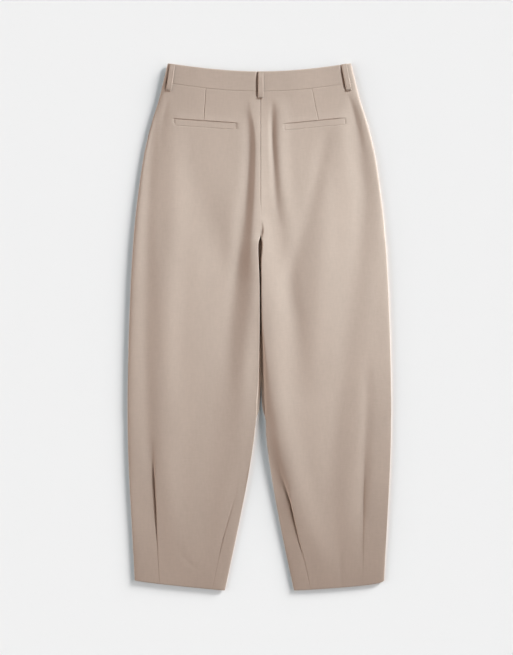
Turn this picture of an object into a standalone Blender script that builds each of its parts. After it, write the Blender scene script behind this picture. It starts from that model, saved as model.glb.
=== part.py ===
"""Barrel leg trousers laid flat on a table, back side up.

The waist points to +Y and the hems to -Y. The wearer's left leg is at -X. The front panels
lie on the table at z = 0 and the back panels lie over them, so each leg is a flattened tube
that is open at the hem, and the two meet in one tube that is open at the waist.
Every piece that a maker cuts is its own wall of cloth, with a seam gap to its neighbours.
"""

import math
from collections import namedtuple

import bmesh
import bpy
import numpy as np

MM = 0.001

# Driving dimensions, in metres
LENGTH = 1.0386
CLOTH = 0.0014
BAND_CLOTH = 0.0022
WELT_CLOTH = 0.0010
LOOP_CLOTH = 0.0016
SEAM_GAP = 0.0003

# The waistband: its height, and how far its edges dip between the sides and the middle
BAND_HEIGHT = 0.0375
BACK_DIP = 0.0160
FRONT_DIP = 0.0260
SEAM_DIP_MORE = 0.0020

# The hem: how much lower it is at the inseam than at the side, and how bowed on each leg
HEM_AT_SIDE = 1.0186
HEM_SLANT = LENGTH - HEM_AT_SIDE
HEM_BOW = {"left": 0.80, "right": 0.47}

# The seat seam ends here, where the inner edges of the legs have rolled down to the inseam
ROLL_START = 0.2900
CROTCH = 0.3240

# How far in from a folded edge the cloth keeps rising, and how square its rise is. An inner
# edge is a tight roll down to the knee, and a wide one from there to the hem.
TOP_ROLL_SIDE = 0.022
TOP_ROLL_INSEAM_TIGHT = 0.009
TOP_ROLL_INSEAM_WIDE = 0.028
WIDER_FROM = 0.540
WIDE_FROM = 0.700
TOP_ROLL_POWER = 2.2
UNDER_ROLL = 0.009
UNDER_ROLL_POWER = 2.0
FOLD_CLEAR_OF_EDGE = 0.008

BELT_LOOP_WIDTH = 0.0105
BELT_LOOP_STAND_OFF = 0.0030
FRONT_LOOP_STAND_OFF = SEAM_GAP
WELT_HEIGHT = 0.0125

CLOTH_COLOUR = (0.474, 0.384, 0.318, 1.0)
CLOTH_ROUGHNESS = 0.85

SIDES = {"left": -1.0, "right": 1.0}

# One row for each section across the trousers, in millimetres. drop: below the highest point of
# the waist. side, inseam: from the middle line to the side fold and to the inner edge of a leg.
# lean: how far the middle line lies to +X. height: top of the back panel, between its folds.
# seam: height of the side seam and inseam. base: lowest point of the front panel.
Section = namedtuple("Section", "drop side inseam lean height seam base")
SECTIONS = [
    Section(0, 180.5, 0.0, 2.3, 8.0, 4.9, 2.3),
    Section(38, 189.5, 0.0, 2.3, 8.0, 4.9, 2.3),
    Section(72, 198.0, 0.0, 2.3, 7.7, 4.6, 2.3),
    Section(111, 210.5, 0.0, 2.3, 7.1, 3.9, 0.9),
    Section(151, 221.0, 0.0, 2.3, 6.9, 3.4, 0.0),
    Section(190, 229.0, 0.0, 2.3, 6.9, 3.2, 0.0),
    Section(269, 240.3, 0.0, 2.3, 7.1, 3.2, 0.0),
    Section(324, 246.4, 0.2, 2.2, 7.2, 3.2, 0.0),
    Section(361, 249.2, 3.4, 1.6, 7.2, 3.2, 0.0),
    Section(426, 253.0, 1.7, 1.6, 7.2, 3.2, 0.0),
    Section(505, 256.2, 1.9, 2.4, 7.0, 3.2, 0.0),
    Section(584, 258.5, 3.9, 3.2, 6.7, 3.2, 0.0),
    Section(663, 259.7, 6.9, 2.7, 6.4, 3.2, 0.0),
    Section(742, 259.1, 12.9, 1.6, 6.0, 3.2, 0.0),
    Section(820, 256.3, 24.5, 0.8, 5.9, 3.2, 0.0),
    Section(899, 252.0, 39.3, 0.2, 5.7, 3.1, 0.0),
    Section(978, 247.7, 55.6, 0.0, 5.5, 3.0, 0.0),
    Section(1039, 244.8, 68.7, 0.0, 5.1, 2.9, 0.0),
]

# The two creases that run the whole length of each back panel, in millimetres from the middle
# of the trousers. Below the knee they are the hem darts. The columns of the panels follow them.
Crease = namedtuple("Crease", "drop left_outer left_inner right_inner right_outer")
CREASES = [
    Crease(38, -170, -24, 27, 174),
    Crease(86, -186, -23, 26.5, 188),
    Crease(170, -206, -21.6, 27, 203),
    Crease(269, -211, -27, 32, 216),
    Crease(367, -215, -38, 52, 219),
    Crease(466, -217, -48, 68, 219),
    Crease(564, -217, -56, 66, 217),
    Crease(663, -215, -56, 56, 213),
    Crease(742, -212, -49, 43, 208),
    Crease(820, -209, -41, 44, 205),
    Crease(929, -202, -68, 73.5, 204.8),
    Crease(1024, -198, -91, 98, 204),
]

# The largest folds of the back, in millimetres. x: from the middle of the trousers to the fold's
# crown or bed. rise: of a ridge above the cloth round it, or of a trough, below 0. A soft fold is
# a drape of the cloth, and a sharp one is a dart's crease.
Fold = namedtuple("Fold", "drop x rise width")
SOFT_FOLDS = {
    "seat_seam_ridge": [
        Fold(66, 3, 0.0, 10),
        Fold(90, 3, 1.1, 11),
        Fold(171, 3, 2.2, 12),
        Fold(269, 2, 3.1, 15),
        Fold(318, 0, 3.2, 17),
        Fold(368, -4, 2.2, 17),
        Fold(430, -8, 0.0, 17),
    ],
    "seat_trough_left": [
        Fold(66, -23, 0.0, 8),
        Fold(90, -22, -1.4, 8),
        Fold(171, -22, -2.1, 9),
        Fold(269, -27, -2.6, 13),
        Fold(368, -38, -2.2, 15),
        Fold(466, -48, -1.4, 16),
        Fold(560, -58, -1.0, 17),
        Fold(660, -64, 0.0, 18),
    ],
    "seat_trough_right": [
        Fold(72, 22, 0.0, 7),
        Fold(110, 21, -1.7, 7),
        Fold(200, 22, -1.5, 8),
        Fold(269, 27, -0.9, 9),
        Fold(330, 34, 0.0, 10),
    ],
    "seat_crest_right": [
        Fold(66, 42, 0.0, 15),
        Fold(90, 42, 1.2, 15),
        Fold(220, 42, 1.9, 15),
        Fold(290, 52, 1.2, 16),
        Fold(390, 66, 0.0, 16),
    ],
    "seat_drag_right": [
        Fold(120, 138, 0.0, 14),
        Fold(171, 126, -1.1, 15),
        Fold(269, 104, -1.3, 16),
        Fold(340, 84, -1.0, 17),
        Fold(417, 62, -2.4, 18),
        Fold(525, 71, -1.8, 20),
        Fold(604, 78, -1.0, 20),
        Fold(690, 84, 0.0, 20),
    ],
    "thigh_crest_right": [
        Fold(200, 132, 0.0, 26),
        Fold(290, 128, 1.3, 27),
        Fold(390, 121, 2.2, 28),
        Fold(525, 115, 1.7, 28),
        Fold(640, 104, 0.9, 28),
        Fold(740, 96, 0.0, 28),
    ],
    "hip_trough_right": [
        Fold(60, 180, 0.0, 12),
        Fold(100, 184, -1.8, 15),
        Fold(171, 194, -2.4, 18),
        Fold(269, 205, -2.4, 21),
        Fold(368, 196, -2.2, 24),
        Fold(466, 183, -1.6, 25),
        Fold(604, 168, -1.5, 24),
        Fold(720, 152, -1.9, 23),
        Fold(840, 144, -1.4, 24),
        Fold(930, 152, -0.9, 22),
        Fold(1010, 160, 0.0, 20),
    ],
    "inner_crest_right": [
        Fold(300, 8, 0.0, 20),
        Fold(368, 8, 3.0, 24),
        Fold(440, 10, 3.0, 26),
        Fold(525, 18, 2.4, 26),
        Fold(604, 28, 2.3, 24),
        Fold(683, 38, 2.5, 24),
        Fold(762, 52, 2.8, 26),
        Fold(840, 72, 2.8, 27),
        Fold(919, 95, 2.1, 28),
        Fold(1000, 124, 0.5, 28),
        Fold(1039, 128, 0.0, 28),
    ],
    "outer_trough_right": [
        Fold(560, 214, 0.0, 9),
        Fold(683, 212, -1.2, 11),
        Fold(762, 208, -1.6, 11),
        Fold(840, 206, -1.2, 10),
        Fold(930, 205, 0.0, 9),
    ],
    "thigh_crest_left": [
        Fold(80, -160, 0.0, 18),
        Fold(150, -166, 0.9, 22),
        Fold(269, -168, 1.7, 25),
        Fold(368, -176, 2.1, 27),
        Fold(466, -182, 2.4, 28),
        Fold(683, -186, 2.2, 28),
        Fold(840, -182, 2.2, 28),
        Fold(919, -172, 1.4, 28),
        Fold(1000, -160, 0.0, 28),
    ],
    "hip_trough_left": [
        Fold(80, -192, 0.0, 9),
        Fold(140, -208, -1.4, 12),
        Fold(269, -220, -1.5, 14),
        Fold(466, -224, -1.3, 16),
        Fold(663, -222, -1.0, 14),
        Fold(791, -216, -0.8, 12),
        Fold(860, -212, 0.0, 10),
    ],
    "thigh_trough_left": [
        Fold(171, -124, 0.0, 30),
        Fold(269, -107, -1.0, 34),
        Fold(340, -88, -1.9, 38),
        Fold(417, -66, -2.4, 40),
        Fold(525, -70, -2.5, 40),
        Fold(604, -78, -2.1, 40),
        Fold(762, -94, -1.4, 38),
        Fold(900, -98, -1.1, 34),
        Fold(1000, -104, 0.0, 30),
    ],
    "inner_crest_left": [
        Fold(340, -8, 0.0, 16),
        Fold(417, -10, 2.4, 17),
        Fold(525, -18, 2.2, 18),
        Fold(604, -27, 1.9, 18),
        Fold(700, -34, 0.9, 18),
        Fold(800, -44, 0.0, 18),
    ],
}
SHARP_FOLDS = {
    "hem_dart_left_outer": [
        Fold(700, -213, 0.0, 6),
        Fold(800, -210, -1.3, 6),
        Fold(929, -202, -1.1, 5),
        Fold(1040, -197.5, -0.4, 4),
    ],
    "hem_dart_left_inner": [
        Fold(800, -42, 0.0, 5),
        Fold(860, -50.5, -1.0, 5),
        Fold(929, -68, -1.0, 5),
        Fold(1040, -94, -0.4, 4),
    ],
    "hem_dart_right_inner": [
        Fold(742, 43, 0.0, 7),
        Fold(820, 44, -2.0, 7),
        Fold(929, 73.5, -1.8, 6),
        Fold(1040, 101, -0.4, 4),
    ],
    "hem_dart_right_outer": [
        Fold(742, 208, 0.0, 6),
        Fold(820, 205, -1.1, 6),
        Fold(929, 204.8, -1.1, 5),
        Fold(1040, 203.8, -0.4, 4),
    ],
}

# Where the columns of a back panel stand: shares of the strips between the side, the outer
# crease, the inner crease and the inner edge
SIDE_STRIP = (0.0, 0.015, 0.06, 0.16, 0.34, 0.58, 0.80)
MIDDLE_STRIP = (0.0, 0.06, 0.16, 0.30, 0.45, 0.60, 0.74, 0.86, 0.94)
INSEAM_STRIP = (0.0, 0.22, 0.52, 0.76, 0.91, 0.98, 1.0)

# The same for a front panel, as shares of its whole width
FRONT_COLUMNS = (0.0, 0.003, 0.011, 0.024, 0.045, 0.50, 0.955, 0.976, 0.989, 0.997, 1.0)

# Shares of the way from the waist seam to the hem, closer where the legs part
PANEL_ROWS = (
    0.0, 0.02, 0.045, 0.08, 0.12, 0.16, 0.20, 0.235, 0.25, 0.262, 0.274, 0.286, 0.30, 0.32,
    0.36, 0.40, 0.45, 0.50, 0.55, 0.60, 0.65, 0.70, 0.75, 0.79, 0.83, 0.87, 0.91, 0.955, 1.0,
)
BAND_ROWS = (0.0, 0.5, 1.0)

# Back pocket welts: the ends of the pocket mouth, as (x from the middle, drop), in metres
WELT_MOUTHS = {
    "left": ((-0.1658, 0.1097), (-0.0470, 0.1176)),
    "right": ((0.1672, 0.1080), (0.0497, 0.1194)),
}

# Belt loops: the middle of the top end and of the bottom end, as (x from the middle, drop)
BACK_LOOPS = {
    "centre": ((0.0023, 0.0164), (0.0023, 0.0694)),
    "left": ((-0.1705, 0.0018), (-0.1775, 0.0545)),
    "right": ((0.1680, 0.0018), (0.1760, 0.0545)),
}
FRONT_LOOPS = {
    "left": ((-0.1000, 0.0195), (-0.1030, 0.0720)),
    "right": ((0.1045, 0.0195), (0.1075, 0.0720)),
}


def column_of(rows, column, drop):
    """The named column at each drop, in metres: a smooth curve through the table's rows."""
    at = np.array([row.drop for row in rows], float)
    value = np.array([getattr(row, column) for row in rows], float)
    steps = np.diff(value) / np.diff(at)
    slope = np.concatenate([steps[:1], (steps[:-1] + steps[1:]) / 2, steps[-1:]])
    place = np.clip(np.asarray(drop, float) / MM, at[0], at[-1])
    first = np.clip(np.searchsorted(at, place, side="right") - 1, 0, len(at) - 2)
    span = at[first + 1] - at[first]
    s = (place - at[first]) / span
    start = (1 + 2 * s) * (1 - s) ** 2 * value[first] + s * (1 - s) ** 2 * span * slope[first]
    end = s * s * (3 - 2 * s) * value[first + 1] + s * s * (s - 1) * span * slope[first + 1]
    return (start + end) * MM


def smooth_step(low, high, value):
    share = np.clip((value - low) / (high - low), 0.0, 1.0)
    return share * share * (3 - 2 * share)


def rise(distance, reach, power):
    """How far cloth has risen, from 0 at a folded edge to 1, at this distance in from the edge."""
    left = 1.0 - np.clip(distance / reach, 0.0, 1.0)
    return (1.0 - left**power) ** (1.0 / power)


def fold_rise(x, drop):
    """How far the folds of the back lift it above its plain height, or sink it below."""
    total = np.zeros_like(x)
    for kind, folds in (("soft", SOFT_FOLDS), ("sharp", SHARP_FOLDS)):
        for rows in folds.values():
            across = (x - column_of(rows, "x", drop)) / column_of(rows, "width", drop)
            inside = (drop >= rows[0].drop * MM) & (drop <= rows[-1].drop * MM)
            shape = np.exp(-(across**2)) if kind == "soft" else np.exp(-np.abs(across))
            total += inside * column_of(rows, "rise", drop) * shape
    return total


def edges_of(side, drop):
    """The x of the side fold and of the inner edge of one half, at each drop."""
    sign = SIDES[side]
    lean = column_of(SECTIONS, "lean", drop)
    half_gap = np.maximum(column_of(SECTIONS, "inseam", drop), SEAM_GAP / 2)
    fold = sign * column_of(SECTIONS, "side", drop)
    return fold, lean + sign * half_gap


def waist_edge(share, dip, lower):
    """The drop of the waistband's top edge, or of the waist seam below it, at a share of the way
    from the side to the middle."""
    bow = np.sin(share * math.pi / 2)
    return lower * BAND_HEIGHT + (dip + lower * SEAM_DIP_MORE) * bow


def hem_edge(side, share):
    return HEM_AT_SIDE + HEM_SLANT * share ** HEM_BOW[side]


def surface(side, share, drop, under, inset):
    """A point of the trousers' skin. share runs from the side fold, 0, to the inner edge, 1. The
    back panels are over the seams and the front panels under them. inset is how far the point
    lies inside the outer skin."""
    sign = SIDES[side]
    fold, inner = edges_of(side, drop)
    rolled = smooth_step(ROLL_START, CROTCH, drop)
    fold = fold - sign * inset
    inner = inner + sign * inset * rolled
    x = fold + share * (inner - fold)
    from_side = np.abs(x - fold)
    from_inner = np.abs(x - inner)
    seam = column_of(SECTIONS, "seam", drop)
    if under:
        level = np.maximum(column_of(SECTIONS, "base", drop), 0.0) + inset
        at_side = rise(from_side, UNDER_ROLL, UNDER_ROLL_POWER)
        at_inner = rise(from_inner, UNDER_ROLL, UNDER_ROLL_POWER)
        seam = seam - SEAM_GAP / 2
    else:
        clear = smooth_step(0.0, FOLD_CLEAR_OF_EDGE, from_side)
        clear = clear * (1 - rolled * (1 - smooth_step(0.0, FOLD_CLEAR_OF_EDGE, from_inner)))
        level = column_of(SECTIONS, "height", drop) + clear * fold_rise(x, drop) - inset
        at_side = rise(from_side, TOP_ROLL_SIDE, TOP_ROLL_POWER)
        wider = smooth_step(WIDER_FROM, WIDE_FROM, drop)
        reach = TOP_ROLL_INSEAM_TIGHT + wider * (TOP_ROLL_INSEAM_WIDE - TOP_ROLL_INSEAM_TIGHT)
        at_inner = rise(from_inner, reach, TOP_ROLL_POWER)
        seam = seam + SEAM_GAP / 2
    z = seam + (level - seam) * at_side * (1 - rolled * (1 - at_inner))
    return np.stack([x, LENGTH / 2 - drop, z], axis=-1)


def back_shares(side, drop):
    """The shares across a back panel where its columns stand at this drop."""
    fold, inner = edges_of(side, drop)
    outer_crease = (column_of(CREASES, side + "_outer", drop) - fold) / (inner - fold)
    inner_crease = (column_of(CREASES, side + "_inner", drop) - fold) / (inner - fold)
    strips = (
        [s * outer_crease for s in SIDE_STRIP]
        + [outer_crease + s * (inner_crease - outer_crease) for s in MIDDLE_STRIP]
        + [inner_crease + s * (1 - inner_crease) for s in INSEAM_STRIP]
    )
    return np.array(strips)


def cloth_material(name):
    material = bpy.data.materials.new(name)
    material.use_nodes = True
    shader = material.node_tree.nodes["Principled BSDF"]
    shader.inputs["Base Color"].default_value = CLOTH_COLOUR
    shader.inputs["Roughness"].default_value = CLOTH_ROUGHNESS
    shader.inputs["Metallic"].default_value = 0.0
    return material


def add_wall(name, outer, inner, parent):
    """A closed wall of cloth between two skins. Each is an array of points, rows by columns."""
    rows, columns = outer.shape[:2]
    bm = bmesh.new()
    bmesh.ops.create_grid(bm, x_segments=columns - 1, y_segments=rows - 1, size=1.0)
    thick = bmesh.ops.extrude_face_region(bm, geom=bm.faces[:], use_keep_orig=True)
    moved = {item for item in thick["geom"] if isinstance(item, bmesh.types.BMVert)}
    for vertex in bm.verts:
        column = round((vertex.co.x + 1) / 2 * (columns - 1))
        row = round((vertex.co.y + 1) / 2 * (rows - 1))
        skin = inner if vertex in moved else outer
        vertex.co = skin[row, column]
    bmesh.ops.recalc_face_normals(bm, faces=bm.faces)
    mesh = bpy.data.meshes.new(name)
    bm.to_mesh(mesh)
    bm.free()
    mesh.shade_smooth()
    mesh.set_sharp_from_angle(angle=math.radians(40))
    mesh.materials.append(cloth_material(name))
    piece = bpy.data.objects.new(name, mesh)
    parent.users_collection[0].objects.link(piece)
    piece.parent = parent
    return piece


def panel_skin(side, under, inset):
    """One skin of a front or back panel, from the waist seam to the hem."""
    rows = []
    for down in PANEL_ROWS:
        dip = FRONT_DIP if under else BACK_DIP
        share = np.array(FRONT_COLUMNS)
        if not under:
            middle = BAND_HEIGHT + down * (HEM_AT_SIDE - BAND_HEIGHT)
            share = back_shares(side, middle)
        top = waist_edge(share, dip, lower=1)
        drop = top + down * (hem_edge(side, share) - top)
        rows.append(surface(side, share, drop, under, inset))
    return np.array(rows)


def add_panel(name, side, under, parent):
    outer = panel_skin(side, under, 0.0)
    inner = panel_skin(side, under, CLOTH)
    return add_wall(name, outer, inner, parent)


def band_skin(side, under, inset):
    """One skin of half the waistband, from its top edge to just above the waist seam."""
    rows = []
    dip = FRONT_DIP if under else BACK_DIP
    share = np.array(FRONT_COLUMNS) if under else back_shares(side, BAND_HEIGHT)
    top = waist_edge(share, dip, lower=0)
    seam = waist_edge(share, dip, lower=1) - SEAM_GAP
    for down in BAND_ROWS:
        rows.append(surface(side, share, top + down * (seam - top), under, inset))
    return np.array(rows)


def add_back_band(parent):
    """The back waistband is cut in one, from side to side. Its halves share no middle column."""
    skins = []
    for inset in (0.0, BAND_CLOTH):
        left = band_skin("left", False, inset)
        right = band_skin("right", False, inset)
        skins.append(np.concatenate([left[:, :-1], right[:, -2::-1]], axis=1))
    return add_wall("waistband_back", *skins, parent)


def add_front_band(side, parent):
    outer = band_skin(side, True, 0.0)
    inner = band_skin(side, True, BAND_CLOTH)
    return add_wall("waistband_front_" + side, outer, inner, parent)


def height_over(x, drop, under):
    """The z of the outer skin at a place given by its x and drop."""
    lean = column_of(SECTIONS, "lean", drop)
    z = np.zeros_like(x)
    for side, sign in SIDES.items():
        fold, inner = edges_of(side, drop)
        share = np.clip((x - fold) / (inner - fold), 0.0, 1.0)
        z = np.where(sign * (x - lean) >= 0, surface(side, share, drop, under, 0.0)[..., 2], z)
    return z


def strip_skin(start, end, width, lengthwise, crosswise, lift, under):
    """One skin of a straight strip that lies on the trousers: points a lift away from the skin
    under it. lengthwise and crosswise are shares of the strip's length and width."""
    start, end = np.array(start), np.array(end)
    run = (end - start) / np.linalg.norm(end - start)
    across = np.array([-run[1], run[0]])
    along, beside = np.meshgrid(lengthwise, crosswise, indexing="ij")
    place = start + along[..., None] * (end - start) + (beside[..., None] * width) * across
    x, drop = place[..., 0], place[..., 1]
    away = -lift if under else lift
    z = height_over(x, drop, under) + away[:, None]
    return np.stack([x, LENGTH / 2 - drop, z], axis=-1)


def add_belt_loop(name, ends, stand_off, under, parent):
    """A folded strip sewn down at both ends, which stands off the waistband between them."""
    lengthwise = np.linspace(0.0, 1.0, 11)
    crosswise = np.linspace(-0.5, 0.5, 6)
    bowed = np.sin(math.pi * lengthwise) ** 0.7
    lift = SEAM_GAP * 1.5 + (stand_off - SEAM_GAP) * bowed
    skins = [
        strip_skin(*ends, BELT_LOOP_WIDTH, lengthwise, crosswise, lift + more, under)
        for more in (LOOP_CLOTH, 0.0)
    ]
    return add_wall(name, *skins, parent)


def add_welt(side, parent):
    """The strip that edges a back pocket. Its upper long edge is the pocket's mouth."""
    start, end = WELT_MOUTHS[side]
    lengthwise = np.linspace(0.0, 1.0, 13)
    down_the_back = 1.0 if end[0] > start[0] else -1.0
    crosswise = np.linspace(0.0, down_the_back, 4)
    lift = np.full(len(lengthwise), SEAM_GAP * 1.5)
    skins = [
        strip_skin(start, end, WELT_HEIGHT, lengthwise, crosswise, lift + more, False)
        for more in (WELT_CLOTH, 0.0)
    ]
    return add_wall("pocket_welt_" + side, *skins, parent)


def clear_scene():
    for item in list(bpy.data.objects):
        bpy.data.objects.remove(item)


def build():
    clear_scene()
    collection = bpy.data.collections.new("barrel_leg_trousers")
    bpy.context.scene.collection.children.link(collection)
    trousers = bpy.data.objects.new("trousers", None)
    collection.objects.link(trousers)
    for side in SIDES:
        add_panel("back_" + side, side, False, trousers)
        add_panel("front_" + side, side, True, trousers)
        add_front_band(side, trousers)
        add_welt(side, trousers)
    add_back_band(trousers)
    for place, ends in BACK_LOOPS.items():
        add_belt_loop("belt_loop_back_" + place, ends, BELT_LOOP_STAND_OFF, False, trousers)
    for place, ends in FRONT_LOOPS.items():
        add_belt_loop("belt_loop_front_" + place, ends, FRONT_LOOP_STAND_OFF, True, trousers)


build()
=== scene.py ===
"""The looks of a pair of barrel leg trousers laid flat with the back side up.

Each piece of cloth is a thin shell on its solid's form, with the same sections and folds and a
finer drape, and with its seams, darts, pocket mouths and stitches. Distances are in metres, and
the tables are in millimetres. A drop is a distance below the highest point of the waist.
"""

import math
from collections import namedtuple

import bpy
import numpy as np
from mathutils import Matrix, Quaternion, Vector


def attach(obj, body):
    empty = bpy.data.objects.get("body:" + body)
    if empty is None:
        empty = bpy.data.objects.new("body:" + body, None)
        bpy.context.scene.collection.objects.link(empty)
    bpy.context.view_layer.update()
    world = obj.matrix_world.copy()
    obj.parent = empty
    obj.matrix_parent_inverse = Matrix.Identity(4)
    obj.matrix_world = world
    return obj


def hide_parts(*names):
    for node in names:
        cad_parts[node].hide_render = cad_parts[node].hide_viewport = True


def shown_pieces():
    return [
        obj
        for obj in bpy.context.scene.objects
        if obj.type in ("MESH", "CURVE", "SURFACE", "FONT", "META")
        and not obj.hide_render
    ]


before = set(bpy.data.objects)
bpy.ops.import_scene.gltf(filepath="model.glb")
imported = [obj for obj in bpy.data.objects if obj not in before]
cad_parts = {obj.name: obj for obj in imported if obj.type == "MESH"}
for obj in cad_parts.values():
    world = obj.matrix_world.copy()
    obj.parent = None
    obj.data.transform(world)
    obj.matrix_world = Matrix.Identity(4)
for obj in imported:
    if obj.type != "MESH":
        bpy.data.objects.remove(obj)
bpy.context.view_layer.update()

MM = 0.001
LENGTH = 1.0386
CLOTH = 0.0010
BAND_CLOTH = 0.0018
LOOP_CLOTH = 0.0011
SEAM_GAP = 0.0001

BAND_HEIGHT = 0.0375
BACK_DIP = 0.0160
FRONT_DIP = 0.0260
SEAM_DIP_MORE = 0.0020

HEM_AT_SIDE = 1.0186
HEM_SLANT = LENGTH - HEM_AT_SIDE
HEM_BOW = {"left": 0.80, "right": 0.47}

# The seat seam fades out here, and the legs part a little below it
SEAT_SEAM_FADE = 0.0300
SEAT_SEAM_END = 0.2950
ROLL_START = 0.3360
CROTCH = 0.3480

# How the cloth rolls down to its edges. The power of a round roll is 2, and a higher one rolls the
# cloth down closer to the edge.
ROUND = 2.0
TOP_ROLL_SIDE = 0.017
TOP_ROLL_SIDE_POWER = 2.6
TOP_ROLL_POWER = 2.2
UNDER_ROLL = 0.009
FOLD_CLEAR_OF_EDGE = 0.008
INSEAM_LIFT_REACH = 0.020

# The right side fold lies a little higher than the left one. It rises between the first two drops
# and sinks again between the other two, from the hem up.
SIDE_LIFT = {"left": 0.0, "right": 0.0020}
SIDE_LIFT_REACH = 0.022
SIDE_LIFT_STARTS = (0.08, 0.20)
SIDE_LIFT_ENDS = (LENGTH, 0.90)

# The hem is turned up inside: by this much, and this much thicker
HEM_TURN = 0.0280
HEM_TURN_STEP = 0.0012
HEM_TURN_CLOTH = 0.0009

BELT_LOOP_WIDTH = 0.0105
BELT_LOOP_STAND_OFF = 0.0008
WELT_HEIGHT = 0.0125

SIDES = {"left": -1.0, "right": 1.0}


def rows_of(kind, *rows):
    """A table whose rows name their columns."""
    return [kind(*row) for row in rows]


def tables_of(kind, **tables):
    """Such tables, by their names."""
    return {name: rows_of(kind, *rows) for name, rows in tables.items()}


# Sections down the trousers. side: how far the side folds are from the middle. inseam: half the
# gap between the legs. lean: how far right of the middle that gap is. height, seam, base: how high
# the back's top, the side seams and the front's underside are off the table.
Section = namedtuple("Section", "drop side inseam lean height seam base")
SECTIONS = rows_of(
    Section,
    (0, 180.5, 0.0, 2.3, 8.0, 4.9, 2.3),
    (38, 189.5, 0.0, 2.3, 8.0, 4.9, 2.3),
    (72, 198.0, 0.0, 2.3, 7.7, 4.6, 2.3),
    (111, 210.5, 0.0, 2.3, 7.1, 3.9, 0.9),
    (151, 221.0, 0.0, 2.3, 6.9, 3.4, 0.0),
    (190, 229.0, 0.0, 2.3, 6.9, 3.2, 0.0),
    (269, 240.3, 0.0, 2.3, 7.1, 3.2, 0.0),
    (324, 246.4, 0.0, 2.8, 7.2, 3.2, 0.0),
    (341, 247.7, 0.0, 2.4, 7.2, 3.2, 0.0),
    (352, 248.5, 3.4, 1.8, 7.2, 3.2, 0.0),
    (366, 249.5, 3.8, 1.4, 7.2, 3.2, 0.0),
    (384, 250.6, 2.7, 0.9, 7.2, 3.2, 0.0),
    (426, 253.0, 1.7, 1.6, 7.2, 3.2, 0.0),
    (505, 256.2, 1.9, 2.4, 7.0, 3.2, 0.0),
    (584, 258.5, 3.9, 3.2, 6.7, 3.2, 0.0),
    (643, 259.4, 6.1, 3.0, 6.5, 3.2, 0.0),
    (663, 259.7, 7.5, 2.6, 6.4, 3.2, 0.0),
    (695, 259.6, 9.2, 3.0, 6.2, 3.2, 0.0),
    (742, 259.1, 12.9, 1.6, 6.0, 3.2, 0.0),
    (820, 256.3, 24.5, 0.8, 5.9, 3.2, 0.0),
    (899, 252.0, 39.3, 0.2, 5.7, 3.1, 0.0),
    (978, 247.7, 55.6, 0.0, 5.5, 3.0, 0.0),
    (1039, 244.8, 68.7, 0.0, 5.1, 2.9, 0.0),
)

# Lines down each back panel that its columns crowd to, above the hem darts and along the waist
# darts between them
Crease = namedtuple("Crease", "drop left_outer left_mid left_inner right_inner right_mid right_outer")
CREASES = rows_of(
    Crease,
    (38, -182, -105, -21, 27, 100.5, 168),
    (56, -184.5, -106, -21, 27, 104.5, 171.5),
    (80, -187, -107.6, -21, 26, 109.2, 182),
    (113, -194, -109.9, -21, 26, 115.5, 192),
    (170, -206, -112, -21.6, 27, 113, 203),
    (269, -211, -118, -27, 32, 120, 216),
    (367, -215, -122, -38, 52, 130, 219),
    (466, -217, -126, -48, 68, 138, 219),
    (564, -217, -130, -56, 66, 140, 217),
    (663, -215, -134, -56, 54, 140, 213),
    (742, -213, -138, -49, 33, 140, 209),
)

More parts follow.
